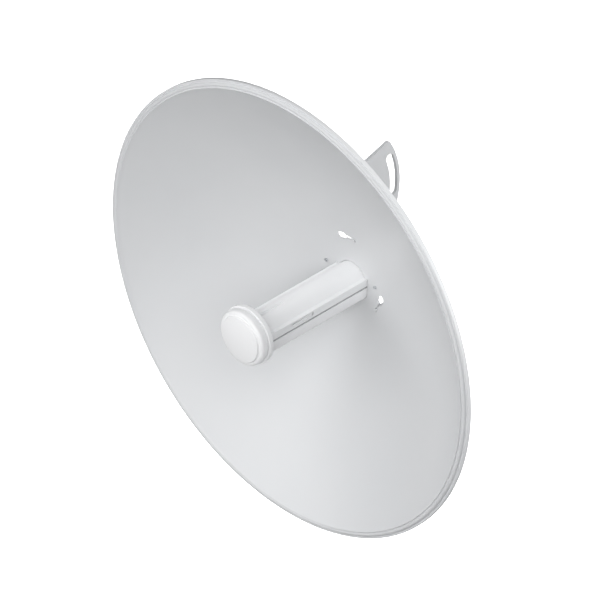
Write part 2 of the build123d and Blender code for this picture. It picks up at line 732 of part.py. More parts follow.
def tilt_bracket():
    """A pressed steel hub plate whose left wing is folded back as the tilt plate."""
    hub = Circle(HUB_PLATE_R)
    wing = make_face(
        Polyline((TILT_PLATE_X - SHEET, 34), (-22, 38), (-22, -38), (TILT_PLATE_X - SHEET, -32), close=True)
    )
    hub += wing
    hub -= Circle(HOUSING_NOSE_R + 0.3)
    for turn in range(3):
        wide = SLOT_WIDE_ANGLE - 120 * turn
        hub -= arc_slot((0, 0), 34.4, wide + 0.5, 13.0, 7.6)
        # A short spoke carries each stud across the edge of its window.
        spoke = Pos(SLOT_PCR, 0) * Circle(STUD_BOSS_R)
        spoke += Pos((SLOT_PCR + HUB_PLATE_R - 0.5) / 2, 0) * Rectangle(HUB_PLATE_R - 0.5 - SLOT_PCR, 4.0)
        hub += Rot(0, 0, stud_angle(turn)) * spoke
    for side in (-1, 1):
        hub += Pos(side * LOCK_SCREW_X, LOCK_SCREW_Z) * Circle(4.0)
    hub -= Circle(HOUSING_NOSE_R + 0.3)
    plate = prism_y(hub, HUB_PLATE_Y, HUB_PLATE_Y + SHEET)
    for side in (-1, 1):
        x = side * LOCK_SCREW_X
        plate += rod_y(3.0, 73.8, HUB_PLATE_Y, x, LOCK_SCREW_Z)
    plate += prism_x(tilt_plate_outline(), TILT_PLATE_X - SHEET, TILT_PLATE_X)
    fold = plate.edges().filter_by(Axis.Z)
    outer = fold.sort_by_distance((TILT_PLATE_X - SHEET, HUB_PLATE_Y, 0))[0]
    plate = fillet(outer, 3.4)
    inner = plate.edges().filter_by(Axis.Z).sort_by_distance((TILT_PLATE_X, HUB_PLATE_Y + SHEET, 0))[0]
    plate = fillet(inner, 1.2)
    for side in (-1, 1):
        plate -= rod_y(1.0, 60, 90, side * LOCK_SCREW_X, LOCK_SCREW_Z)
    for angle in EAR_ANGLES:
        x, z = polar(EAR_PCR, angle)
        plate -= rod_y(1.5, 70, 90, x, z)
    for turn in range(3):
        x, z = polar(SLOT_PCR, stud_angle(turn))
        plate -= rod_y(STUD_NECK_R, 70, 90, x, z)
    plate -= rod_x(BOLT_R + RUNNING_GAP, -80, -50, PIVOT_Y, PIVOT_Z)
    centre = (PIVOT_Y, PIVOT_Z)
    inner = arc_slot(centre, INNER_SLOT_R, SLOT_MID_ANGLE, SLOT_HALF_ANGLE, SLOT_HALF_WIDTH)
    outer = arc_slot(centre, OUTER_SLOT_R, OUTER_SLOT_MID_ANGLE, OUTER_SLOT_HALF_ANGLE, SLOT_HALF_WIDTH)
    for slot in (inner, outer):
        plate -= prism_x(slot, -80, -50)
    return plate


def tilt_plate_outline():
    """The tilt plate's side view in (y, z): a quadrant with a straight top edge."""
    arc_low = pivot_point(TILT_ARC_R, -22)
    arc_high = pivot_point(TILT_ARC_R, 32.5)
    arc_mid = pivot_point(TILT_ARC_R, 4)
    edges = [
        ThreePointArc(arc_low, arc_mid, arc_high),
        Line(arc_high, (108, 27.5)),
        Line((108, 27.5), (HUB_PLATE_Y, 34)),
        Line((HUB_PLATE_Y, 34), (HUB_PLATE_Y, -32)),
        Line((HUB_PLATE_Y, -32), (104, -9.5)),
        Line((104, -9.5), (140, -9.5)),
        Line((140, -9.5), arc_low),
    ]
    outline = make_face(Wire(edges))
    tip = outline.vertices().sort_by_distance((*arc_high, 0))[0]
    outline = fillet(tip, 3.0)
    soft = [v for v in outline.vertices() if v.X > HUB_PLATE_Y + 1 and v.Y < 29]
    return fillet(soft, 5.0)


# ---- pole mount ---------------------------------------------------------------------
BRACKET_X1 = TILT_PLATE_X - SHEET - PLATE_GAP
BRACKET_X0 = BRACKET_X1 - SHEET
BRACKET_END_X = POLE_X - CLAMP_BOLT_X - 13
FLANGE_BACK_Y = BRACKET_FLANGE_Y + SHEET
LOCK_BOLT = pivot_point(INNER_SLOT_R, SLOT_MID_ANGLE)


def pole_bracket():
    """An angle of steel sheet: a side plate for the bolts, a flange for the pole."""
    side = make_face(
        Polyline(
            (BRACKET_FLANGE_Y, BRACKET_TOP_Z - 2),
            (120, 26),
            (164, 22),
            (171, 14),
            (171, 2),
            (164, -6),
            (130, -14),
            (BRACKET_FLANGE_Y, BRACKET_BOTTOM_Z),
            close=True,
        )
    )
    soft = [v for v in side.vertices() if v.X > BRACKET_FLANGE_Y + 1]
    side = fillet(soft, 4.0)
    bracket = prism_x(side, BRACKET_X0, BRACKET_X1)
    flange = Pos((BRACKET_X1 + BRACKET_END_X) / 2, (BRACKET_TOP_Z + BRACKET_BOTTOM_Z) / 2)
    flange = flange * Rectangle(BRACKET_X1 - BRACKET_END_X, BRACKET_TOP_Z - BRACKET_BOTTOM_Z)
    flange = fillet(flange.vertices().group_by(Axis.X)[0], 8)
    bracket += prism_y(flange, BRACKET_FLANGE_Y, FLANGE_BACK_Y)
    # Folded lips along the flange's top and bottom edges.
    for z0 in (BRACKET_TOP_Z - SHEET, BRACKET_BOTTOM_Z):
        bracket += box(BRACKET_END_X + 8, BRACKET_X0, FLANGE_BACK_Y - 0.1, FLANGE_BACK_Y + 6, z0, z0 + SHEET)
    corner = bracket.edges().filter_by(Axis.Z).sort_by_distance((BRACKET_X1, BRACKET_FLANGE_Y, PIVOT_Z))[0]
    bracket = fillet(corner, 3.4)
    bracket -= rod_x(BOLT_R, -90, -50, PIVOT_Y, PIVOT_Z)
    bracket -= rod_x(BOLT_R, -90, -50, LOCK_BOLT[0], LOCK_BOLT[1])
    for x in clamp_bolt_places():
        bracket -= rod_y(BOLT_R + RUNNING_GAP, 95, 115, x, PIVOT_Z)
    for x, z in saddle_screw_places():
        bracket -= rod_y(2.1, 95, 115, x, z)
    return bracket


def clamp_bolt_places():
    return (POLE_X - CLAMP_BOLT_X, POLE_X + CLAMP_BOLT_X)


def saddle_screw_places():
    return [(POLE_X + x, PIVOT_Z + z) for x in (-16, 16) for z in (-13, 13)]


def pole_saddle():
    """A cast seat for the pole, screwed to the bracket's flange."""
    front_y = FLANGE_BACK_Y
    back_y = POLE_Y - SADDLE_REACH
    low_z = PIVOT_Z - SADDLE_HALF_Z
    high_z = PIVOT_Z + SADDLE_HALF_Z
    seat = box(POLE_X - SADDLE_X, POLE_X + SADDLE_X, front_y, back_y, low_z, high_z)
    seat = chamfer(seat.edges().filter_by(Axis.Z).group_by(Axis.Y)[0], 2.0)
    seat -= rod_z(POLE_R, -60, 60, POLE_X, POLE_Y)
    for x, z in saddle_screw_places():
        seat -= rod_y(1.6, 100, 113.0, x, z)
    return seat


def saddle_screws():
    screws = []
    for x, z in saddle_screw_places():
        screw = rod_y(3.4, BRACKET_FLANGE_Y - 2.2, BRACKET_FLANGE_Y, x, z)
        screw += rod_y(1.6, BRACKET_FLANGE_Y, 112.0, x, z)
        screw -= hex_y(2.5, BRACKET_FLANGE_Y - 3.0, BRACKET_FLANGE_Y - 1.0, x, z)
        screws.append(screw)
    return Compound(screws)


def clamp_jaw():
    """The cast jaw behind the pole, with an ear for each clamp bolt."""
    front_y = POLE_Y + SADDLE_REACH
    crown_y = POLE_Y + POLE_R + 4.5
    low_z = PIVOT_Z - SADDLE_HALF_Z
    high_z = PIVOT_Z + SADDLE_HALF_Z
    jaw = box(POLE_X - SADDLE_X, POLE_X + SADDLE_X, front_y, crown_y, low_z, high_z)
    jaw = chamfer(jaw.edges().filter_by(Axis.Z).group_by(Axis.Y)[-1], 6.0)
    reach = CLAMP_BOLT_X + WASHER_R + 0.5
    ears = box(POLE_X - reach, POLE_X + reach, JAW_EAR_FRONT_Y, JAW_EAR_BACK_Y, PIVOT_Z - 12, PIVOT_Z + 12)
    ears = fillet(ears.edges().filter_by(Axis.Y), 6.0)
    jaw += ears
    jaw -= rod_z(POLE_R, -60, 60, POLE_X, POLE_Y)
    for x in clamp_bolt_places():
        jaw -= rod_y(BOLT_R + RUNNING_GAP, 140, 190, x, PIVOT_Z)
    return jaw


def clamp_bolts():
    """Two hexagon bolts through the flange, one on each side of the pole."""
    bolts = []
    for x in clamp_bolt_places():
        bolt = hex_y(BOLT_HEAD_AF, BRACKET_FLANGE_Y - BOLT_HEAD_H, BRACKET_FLANGE_Y, x, PIVOT_Z)
        bolt += rod_y(BOLT_R, BRACKET_FLANGE_Y, CLAMP_BOLT_END_Y, x, PIVOT_Z)
        bolts.append(bolt)
    return Compound(bolts)


def clamp_washers():
    rings = []
    for x in clamp_bolt_places():
        ring = rod_y(WASHER_R, JAW_EAR_BACK_Y, JAW_EAR_BACK_Y + WASHER_T, x, PIVOT_Z)
        rings.append(ring - rod_y(BOLT_R + RUNNING_GAP, 150, 170, x, PIVOT_Z))
    return Compound(rings)


def clamp_nuts():
    nuts = []
    front = JAW_EAR_BACK_Y + WASHER_T
    for x in clamp_bolt_places():
        nut = hex_y(BOLT_HEAD_AF, front, front + NUT_H, x, PIVOT_Z)
        nuts.append(nut - rod_y(BOLT_R + RUNNING_GAP, 150, 180, x, PIVOT_Z))
    return Compound(nuts)


def cross_bolt(y, z):
    """A hexagon bolt through the tilt plate and the bracket's side plate."""
    head_x = TILT_PLATE_X + FIT_GAP + WASHER_T
    bolt = hex_x(BOLT_HEAD_AF, head_x, head_x + BOLT_HEAD_H, y, z)
    return bolt + rod_x(BOLT_R, BRACKET_X0 - WASHER_T - NUT_H - 2, head_x, y, z)


def cross_washers(y, z):
    near = washer_x(TILT_PLATE_X + FIT_GAP, TILT_PLATE_X + FIT_GAP + WASHER_T, y, z, BOLT_R)
    far = washer_x(BRACKET_X0 - WASHER_T, BRACKET_X0, y, z, BOLT_R)
    return Compound([near, far])


def cross_nut(y, z):
    x1 = BRACKET_X0 - WASHER_T
    return hex_x(BOLT_HEAD_AF, x1 - NUT_H, x1, y, z) - rod_x(BOLT_R, -90, -60, y, z)


# ---- export -------------------------------------------------------------------------
def export(name, shape):
    solids = shape.solids()
    moved = [solid.moved(Location(-ORIGIN)) for solid in solids]
    node = moved[0] if len(moved) == 1 else Compound(moved)
    node.label = name
    export_step(node, "parts/" + name + ".step")


PARTS = {
    "dish_reflector": dish_reflector,
    "bayonet_studs": bayonet_studs,
    "dish_lock_screws": dish_lock_screws,
    "feed_upper_shell": feed_upper_shell,
    "feed_lower_shell": feed_lower_shell,
    "shell_gaskets": shell_gaskets,
    "tail_plate": tail_plate,
    "light_pipe": light_pipe,
    "cap_ring": cap_ring,
    "feed_cap": feed_cap,
    "cap_seal": cap_seal,
    "sub_reflector": sub_reflector,
    "radiator_board": radiator_board,
    "radiator_post": radiator_post,
    "radiator_link": board_edge_link,
    "main_board": main_board,
    "board_screws": board_screws,
    "rf_shields": rf_shields,
    "radio_chips": radio_chips,
    "thermal_pads": thermal_pads,
    "heat_spreader": heat_spreader,
    "line_transformer": line_transformer,
    "rj45_jack": rj45_jack,
    "jack_contacts": jack_contacts,
    "reset_button": reset_button,
    "reset_switch": reset_switch,
    "rear_housing": rear_housing,
    "housing_screws": housing_screws,
    "release_lever": release_lever,
    "lever_pin": lever_pin,
    "lever_spring": lever_spring,
    "port_door": port_door,
    "door_pin": door_pin,
    "cable_grommet": cable_grommet,
    "tilt_bracket": tilt_bracket,
    "pole_bracket": pole_bracket,
    "pole_saddle": pole_saddle,
    "saddle_screws": saddle_screws,
    "clamp_jaw": clamp_jaw,
    "clamp_bolts": clamp_bolts,
    "clamp_washers": clamp_washers,
    "clamp_nuts": clamp_nuts,
    "pivot_bolt": lambda: cross_bolt(PIVOT_Y, PIVOT_Z),
    "pivot_washers": lambda: cross_washers(PIVOT_Y, PIVOT_Z),
    "pivot_nut": lambda: cross_nut(PIVOT_Y, PIVOT_Z),
    "lock_bolt": lambda: cross_bolt(*LOCK_BOLT),
    "lock_washers": lambda: cross_washers(*LOCK_BOLT),
    "lock_nut": lambda: cross_nut(*LOCK_BOLT),
}

os.makedirs("parts", exist_ok=True)
for part_name, make in PARTS.items():
    export(part_name, make())
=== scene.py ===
import json
import math

import bmesh
import bpy
from mathutils import Matrix, Vector


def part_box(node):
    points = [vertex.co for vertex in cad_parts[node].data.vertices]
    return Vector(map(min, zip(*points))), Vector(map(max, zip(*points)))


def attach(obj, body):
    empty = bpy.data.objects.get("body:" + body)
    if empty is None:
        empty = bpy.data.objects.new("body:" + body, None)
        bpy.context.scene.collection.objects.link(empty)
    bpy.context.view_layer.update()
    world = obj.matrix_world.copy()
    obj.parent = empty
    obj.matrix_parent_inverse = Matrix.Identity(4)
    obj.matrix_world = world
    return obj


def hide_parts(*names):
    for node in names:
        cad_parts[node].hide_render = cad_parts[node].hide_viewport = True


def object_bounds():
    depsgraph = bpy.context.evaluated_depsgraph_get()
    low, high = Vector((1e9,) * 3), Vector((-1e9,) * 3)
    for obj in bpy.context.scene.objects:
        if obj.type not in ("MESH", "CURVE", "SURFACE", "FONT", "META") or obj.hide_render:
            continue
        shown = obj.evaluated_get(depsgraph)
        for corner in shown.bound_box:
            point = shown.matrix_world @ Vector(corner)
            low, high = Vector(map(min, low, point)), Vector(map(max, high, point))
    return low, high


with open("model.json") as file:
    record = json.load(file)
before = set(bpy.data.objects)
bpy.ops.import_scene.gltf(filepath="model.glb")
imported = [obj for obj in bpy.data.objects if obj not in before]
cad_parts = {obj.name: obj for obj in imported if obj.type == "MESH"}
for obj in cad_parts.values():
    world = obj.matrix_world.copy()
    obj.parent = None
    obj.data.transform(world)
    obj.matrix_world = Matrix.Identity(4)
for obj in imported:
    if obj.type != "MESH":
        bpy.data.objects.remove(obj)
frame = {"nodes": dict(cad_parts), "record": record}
cad_low, cad_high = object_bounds()

# ---- sizes, in millimetres about the dish's centre ----------------------------------
# X is to the right as seen from the front, Y runs back along the dish's axis, Z is up.
MM = 0.001
DISH_R = 210.0
DISH_EDGE_R = 202.6
DISH_VERTEX_Y = 73.5
DISH_OPEN_R = 9.0
PARABOLA_4F = 530.0
SHEET_T = 1.2
RIM_BACK_Y = 1.9
HUB_CUT_Y = (60.0, 90.0)
SLOT_PCR = 37.0
SLOT_WIDE_ANGLE = 105.5
SLOT_SWEEP = 23.5
SLOT_WIDE = 6.0
SLOT_WIDE_HALF_ANGLE = 3.0
SLOT_NARROW = 2.2
LOCK_SCREW = (28.65, 0.7)
LOCK_HOLE_R = 1.2

TUBE_R = 16.3
CROWN_Z = -5.0
CROWN_TOP_Z = CROWN_Z + TUBE_R
RAIL_X = 18.0
RAIL_TOP_Z = 3.0
JOINT_Z = -3.9
GROOVE_Z = -6.0
TUBE_BOTTOM_Z = -18.0
TUBE_CORNER_R = 5.0
TUBE_WALL = 2.0
TUBE_FRONT_Y = -46.8
TUBE_BACK_Y = 104.0
TUBE_GAP = 0.3
SEAL_DEPTH = 1.0
SHELL_ROUND = 0.3

WINDOW_Y = -2.6
WINDOW_Z = -0.7
WINDOW_LENGTH = 25.5
WINDOW_HEIGHT = 3.8
WINDOW_CORNER_R = 0.9
TONGUE_FRONT_Y = -15.1
TONGUE_BACK_Y = 8.9
TONGUE_X = 17.4
TONGUE_FRONT_Z = -0.9
TONGUE_BACK_Z = 0.4
TONGUE_GAP = 0.15

# The ramp along the crown, and the thickened crown under it.
RAMP_FRONT_HALF = 3.2
RAMP_FRONT_DEPTH = 4.1
RAMP_END_HALF = 0.7
RAMP_END_DEPTH = 1.1
RAMP_END_Y = -8.5
RAMP_CLEAR = 6.0
BACKING_HALF = 5.5
BACKING_DEPTH = 5.7
BACKING_INSET = 0.9
BACKING_SPREAD = 20.8
BACKING_END_Y = -12.5

# The notch that the release lever's hook drops into.
NOTCH_HALF = 5.2
NOTCH_Y = (91.5, 97.5)
NOTCH_DEPTH = 4.5
NOTCH_TOP_Z = 20.0

# The posts that carry the main board.
POST_X = 11.5
POST_PLACES_Y = (-30.0, 82.0)
POST_Z = -13.0
POST_R = 2.8
POST_HEIGHT = 7.0
POST_STEPS = 32

CAP_Z = -1.6
CAP_R = 25.2
CAP_RING_R = 26.6
CAP_RING_BACK_Y = -45.6
CAP_JOINT_Y = -49.8
CAP_FRONT_Y = -61.5
CAP_DISC_R = 20.8
CAP_DISC_RISE = 9.8
CAP_DISC_EDGE_R = 19.4
CAP_INNER_R = 23.6
CAP_FIT_R = 23.5
CAP_FIT_DEPTH = 1.4
CAP_STEPS = 192
RING_BORE_R = 15.0
RING_BACK_ROUND = 0.5
RING_FRONT_ROUND = 0.3
RING_CUT_Y = (-60.0, -40.0)

DISH_STEPS = 384


# ---- placing ------------------------------------------------------------------------
rim_low, rim_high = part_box("dish_reflector")
DISH_CENTRE = Vector(
    (
        (rim_low.x + rim_high.x) / 2,
        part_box("feed_cap")[0].y - CAP_FRONT_Y * MM,
        (rim_low.z + rim_high.z) / 2,
    )
)
TO_ROW = Matrix.Translation(DISH_CENTRE) @ Matrix.Scale(MM, 4)
BODY_OF = {
    node: body
    for body, nodes in frame["record"]["behaviour"]["bodies"].items()
    for node in nodes
}
SLOT_OF = {part["node"]: part["material_slot"] for part in frame["record"]["subparts"]}


# ---- materials ----------------------------------------------------------------------
def shader(name, roughness, metallic=0.0, **sockets):
    """A Principled material; whatever is the same all over is set on its own socket."""
    material = bpy.data.materials.new(name)
    material.use_nodes = True
    bsdf = material.node_tree.nodes["Principled BSDF"]
    bsdf.inputs["Roughness"].default_value = roughness
    bsdf.inputs["Metallic"].default_value = metallic
    for socket, value in sockets.items():
        bsdf.inputs[socket.replace("_", " ")].default_value = value
    return material, material.node_tree.nodes, material.node_tree.links, bsdf


def noise(nodes, links, scale, detail=3.0, stretch=None):
    """Noise over the object's own coordinates, in metres."""
    place = nodes.new("ShaderNodeTexCoord")
    texture = nodes.new("ShaderNodeTexNoise")
    texture.inputs["Scale"].default_value = scale
    texture.inputs["Detail"].default_value = detail
    if stretch:
        mapping = nodes.new("ShaderNodeMapping")
        mapping.inputs["Scale"].default_value = stretch
        links.new(place.outputs["Object"], mapping.inputs["Vector"])
        links.new(mapping.outputs["Vector"], texture.inputs["Vector"])
    else:
        links.new(place.outputs["Object"], texture.inputs["Vector"])
    return texture.outputs["Fac"]


def colour_between(nodes, links, fac, dark, light, low=0.3, high=0.7):
    ramp = nodes.new("ShaderNodeValToRGB")
    ramp.color_ramp.elements[0].position = low
    ramp.color_ramp.elements[0].color = (*dark, 1)
    ramp.color_ramp.elements[1].position = high
    ramp.color_ramp.elements[1].color = (*light, 1)
    links.new(fac, ramp.inputs["Fac"])
    return ramp.outputs["Color"]


def value_between(nodes, links, fac, low, high):
    spread = nodes.new("ShaderNodeMapRange")
    spread.inputs["From Min"].default_value = 0.3
    spread.inputs["From Max"].default_value = 0.7
    spread.inputs["To Min"].default_value = low
    spread.inputs["To Max"].default_value = high
    links.new(fac, spread.inputs["Value"])
    return spread.outputs["Result"]


def bump(nodes, links, bsdf, height, depth, strength=1.0, under=None):
    node = nodes.new("ShaderNodeBump")
    node.inputs["Distance"].default_value = depth
    node.inputs["Strength"].default_value = strength
    links.new(height, node.inputs["Height"])
    if under:
        links.new(under, node.inputs["Normal"])
    links.new(node.outputs["Normal"], bsdf.inputs["Normal"])
    return node.outputs["Normal"]


def textured(
    name, dark, light, rough, metallic=0.0, tone=30.0, grain=1500.0, depth=0.00002, stretch=None, **sockets
):
    """Slow variation of tone and gloss, and a fine grain in relief."""
    middle = sum(rough) / 2
    material, nodes, links, bsdf = shader(name, middle, metallic, **sockets)
    slow = noise(nodes, links, tone, 4.0, stretch)
    links.new(colour_between(nodes, links, slow, dark, light), bsdf.inputs["Base Color"])
    fine = noise(nodes, links, grain, 2.0, stretch)
    links.new(value_between(nodes, links, fine, *rough), bsdf.inputs["Roughness"])
    bump(nodes, links, bsdf, fine, depth)
    return material


def powder_coat():
    """White polyester powder coat: orange peel under a faint sparkle of fine texture."""
    material, nodes, links, bsdf = shader("powder_coat", 0.4, Coat_Weight=0.25, Coat_Roughness=0.28)
    slow = noise(nodes, links, 9.0, 3.0)
    links.new(
        colour_between(nodes, links, slow, (0.675, 0.687, 0.702), (0.695, 0.704, 0.716)),
        bsdf.inputs["Base Color"],
    )
    peel = noise(nodes, links, 420.0, 1.0)
    fine = noise(nodes, links, 2600.0, 2.0)
    links.new(value_between(nodes, links, fine, 0.36, 0.46), bsdf.inputs["Roughness"])
    under = bump(nodes, links, bsdf, peel, 0.00003)
    bump(nodes, links, bsdf, fine, 0.000006, under=under)
    return material


def board_material():
    """Green solder mask over copper tracks, with pale pads."""
    material, nodes, links, bsdf = shader("circuit_board", 0.35)
    place = nodes.new("ShaderNodeTexCoord")
    tracks = nodes.new("ShaderNodeTexBrick")
    tracks.inputs["Scale"].default_value = 160.0
    tracks.inputs["Mortar Size"].default_value = 0.06
    tracks.inputs["Color1"].default_value = (0.012, 0.11, 0.045, 1)
    tracks.inputs["Color2"].default_value = (0.016, 0.14, 0.055, 1)
    tracks.inputs["Mortar"].default_value = (0.04, 0.27, 0.1, 1)
    links.new(place.outputs["Object"], tracks.inputs["Vector"])
    links.new(tracks.outputs["Color"], bsdf.inputs["Base Color"])
    bump(nodes, links, bsdf, tracks.outputs["Fac"], 0.00003)
    return material


MATERIALS = {
    "white_powder_coat": powder_coat(),
    "white_plastic": textured(
        "moulded_white", (0.89, 0.895, 0.905), (0.91, 0.917, 0.925), (0.34, 0.44), 0.0, 24.0, 1800.0, 0.000012
    ),
    "grey_plastic": textured(
        "moulded_grey", (0.33, 0.34, 0.355), (0.37, 0.38, 0.395), (0.42, 0.54), 0.0, 40.0, 1800.0, 0.00002
    ),
    "black_plastic": textured(
        "moulded_black", (0.018, 0.018, 0.02), (0.03, 0.03, 0.033), (0.4, 0.55), 0.0, 90.0, 2200.0, 0.00002
    ),
    "clear_plastic": textured(
        "light_pipe", (0.8, 0.87, 0.9), (0.88, 0.94, 0.96), (0.08, 0.16), 0.0, 120.0, 900.0, 0.000004,
        Transmission_Weight=0.7, IOR=1.49,
    ),
    "grey_rubber": textured(
        "soft_rubber", (0.2, 0.205, 0.215), (0.25, 0.255, 0.265), (0.62, 0.8), 0.0, 70.0, 1600.0, 0.00003
    ),
    "pale_seal": textured(
        "pale_seal", (0.4, 0.405, 0.415), (0.46, 0.465, 0.475), (0.6, 0.75), 0.0, 70.0, 1600.0, 0.00002
    ),
    "zinc_plated_steel": textured(
        "zinc_plate", (0.52, 0.54, 0.56), (0.66, 0.68, 0.7), (0.26, 0.42), 1.0, 220.0, 2200.0, 0.000008
    ),
    "spring_steel": textured(
        "spring_steel", (0.4, 0.41, 0.42), (0.52, 0.53, 0.54), (0.24, 0.36), 1.0, 300.0, 2600.0, 0.000006
    ),
    "cast_aluminium": textured(
        "cast_aluminium", (0.56, 0.57, 0.58), (0.68, 0.69, 0.7), (0.42, 0.6), 1.0, 60.0, 1100.0, 0.00006
    ),
    "sheet_aluminium": textured(
        "rolled_aluminium", (0.7, 0.71, 0.72), (0.8, 0.81, 0.82), (0.22, 0.4), 1.0, 40.0, 900.0, 0.000006,
        (12.0, 1.0, 1.0),
    ),
    "tin_plate": textured(
        "tin_plate", (0.6, 0.6, 0.58), (0.72, 0.72, 0.7), (0.25, 0.38), 1.0, 90.0, 1500.0, 0.000006
    ),
    "circuit_board": board_material(),
    "gold_contact": textured(
        "gold_plate", (0.78, 0.56, 0.2), (0.9, 0.68, 0.3), (0.2, 0.3), 1.0, 300.0, 2000.0, 0.000004
    ),
}


# ---- mesh helpers -------------------------------------------------------------------
def ring_points(radius, y, steps):
    return [
        Vector((radius * math.cos(math.tau * i / steps), y, radius * math.sin(math.tau * i / steps)))
        for i in range(steps)
    ]


def lathe(bm, outline, steps):
    """Turn a closed outline of (radius, y) about the dish axis. A radius of 0 is one point."""
    rings = []
    for radius, y in outline:
        points = ring_points(radius, y, steps) if radius > 1e-6 else [Vector((0, y, 0))]
        rings.append([bm.verts.new(p) for p in points])
    for first, second in zip(rings, rings[1:] + rings[:1]):
        for i in range(steps):
            j = (i + 1) % steps
            corners = []
            for ring, place in ((first, i), (first, j), (second, j), (second, i)):
                vert = ring[place % len(ring)]
                if vert not in corners:
                    corners.append(vert)
            if len(corners) > 2:
                bm.faces.new(corners)
    bmesh.ops.recalc_face_normals(bm, faces=bm.faces)


def arc(centre, radius, start, end, steps):
    """Points along an arc, with angles in degrees."""
    turns = [math.radians(start + (end - start) * i / steps) for i in range(steps + 1)]
    return [(centre[0] + radius * math.cos(t), centre[1] + radius * math.sin(t)) for t in turns]


def through(first, middle, last, steps):
    """Points on the arc through three points."""
    (ax, ay), (bx, by), (cx, cy) = first, middle, last
    d = 2 * (ax * (by - cy) + bx * (cy - ay) + cx * (ay - by))
    sa, sb, sc = ax * ax + ay * ay, bx * bx + by * by, cx * cx + cy * cy
    ox = (sa * (by - cy) + sb * (cy - ay) + sc * (ay - by)) / d
    oy = (sa * (cx - bx) + sb * (ax - cx) + sc * (bx - ax)) / d
    radius = math.hypot(ax - ox, ay - oy)
    angles = [math.degrees(math.atan2(y - oy, x - ox)) for x, y in (first, middle, last)]
    while angles[2] - angles[0] > 180:
        angles[2] -= 360
    while angles[2] - angles[0] < -180:
        angles[2] += 360
    return arc((ox, oy), radius, angles[0], angles[2], steps)


def loft(bm, near, far):
    """A closed solid between two outlines of the same number of points."""
    ends = [[bm.verts.new(point) for point in outline] for outline in (near, far)]
    for end in ends:
        bm.faces.new(end)
    for i in range(len(near)):
        j = (i + 1) % len(near)
        bm.faces.new((ends[0][i], ends[0][j], ends[1][j], ends[1][i]))
    bmesh.ops.recalc_face_normals(bm, faces=bm.faces)


def prism_y(bm, outline, y0, y1):
    """A closed prism of an outline in (x, z), between two places along Y."""
    loft(bm, *([(x, y, z) for x, z in outline] for y in (y0, y1)))


def prism_x(bm, outline, x0, x1):
    """A closed prism of an outline in (y, z), between two places across the tube."""
    loft(bm, *([(x, y, z) for y, z in outline] for x in (x0, x1)))


def new_object(name, bm):
    mesh = bpy.data.meshes.new(name)
    bm.to_mesh(mesh)
    bm.free()
    thing = bpy.data.objects.new(name, mesh)
    bpy.context.scene.collection.objects.link(thing)
    return thing


def solid(maker, *sizes, name="solid"):
    """An object of its own for one helper's shape."""
    bm = bmesh.new()
    maker(bm, *sizes)
    return new_object(name, bm)


def bake_modifiers(thing):
    """Replace an object's mesh by what its modifiers make of it."""
    graph = bpy.context.evaluated_depsgraph_get()
    mesh = bpy.data.meshes.new_from_object(thing.evaluated_get(graph))
    thing.modifiers.clear()
    thing.data = mesh


def cut(thing, cutters, operation="DIFFERENCE"):
    """Boolean an object with others, which are then removed."""
    for cutter in cutters:
        modifier = thing.modifiers.new("cut", "BOOLEAN")
        modifier.operation = operation
        modifier.solver = "EXACT"
        modifier.object = cutter
    bake_modifiers(thing)
    for cutter in cutters:
        bpy.data.objects.remove(cutter)


def round_edges(thing, width, angle=30.0, segments=3):
    """Bevel the sharp edges."""
    modifier = thing.modifiers.new("bevel", "BEVEL")
    modifier.width = width
    modifier.segments = segments
    modifier.limit_method = "ANGLE"
    modifier.angle_limit = math.radians(angle)
    modifier.use_clamp_overlap = True
    modifier.miter_outer = "MITER_ARC"
    bake_modifiers(thing)


def show(thing, *nodes, smooth=35.0, in_row=False):
    """Put a piece on its body, in place of its CAD nodes, with their material."""
    if not in_row:
        thing.data.transform(TO_ROW)
    thing.data.materials.clear()
    thing.data.materials.append(MATERIALS[SLOT_OF[nodes[0]]])
    thing.data.shade_smooth()
    thing.data.set_sharp_from_angle(angle=math.radians(smooth))
    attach(thing, BODY_OF[nodes[0]])
    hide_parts(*nodes)
    return thing


def weighted(thing):
    modifier = thing.modifiers.new("normals", "WEIGHTED_NORMAL")
    modifier.keep_sharp = True
    modifier.weight = 80
    return thing


# ---- reflector ----------------------------------------------------------------------
def parabola_y(radius, lift=0.0):
    return DISH_VERTEX_Y + lift - radius * radius / PARABOLA_4F


def arc_slot(radius, middle, half_angle, half_width, steps=14):
    """The outline of a round-ended slot along an arc about the dish axis."""
    start, end = middle - half_angle, middle + half_angle
    outline = arc((0, 0), radius + half_width, start, end, steps)
    outline += arc(polar(radius, end), half_width, end, end + 180, steps)[1:-1]
    outline += arc((0, 0), radius - half_width, end, start, steps)
    outline += arc(polar(radius, start), half_width, start + 180, start + 360, steps)[1:-1]
    return outline


def polar(radius, angle):
    return radius * math.cos(math.radians(angle)), radius * math.sin(math.radians(angle))


def tube_outline(grow=0.0):
    """The whole feed tube's section in (x, z), anticlockwise from the right-hand ledge."""
    radius, side = TUBE_R + grow, RAIL_X + grow
    ledge, bottom = RAIL_TOP_Z + grow, TUBE_BOTTOM_Z - grow
    corner = TUBE_CORNER_R + grow
    start = math.degrees(math.asin((ledge - CROWN_Z) / radius))
    outline = [(side, ledge)]
    outline += arc((0, CROWN_Z), radius, start, 180 - start, 48)
    outline += [(-side, ledge)]
    outline += arc((-side + corner, bottom + corner), corner, 180, 270, 10)
    outline += arc((side - corner, bottom + corner), corner, 270, 360, 10)
    return outline


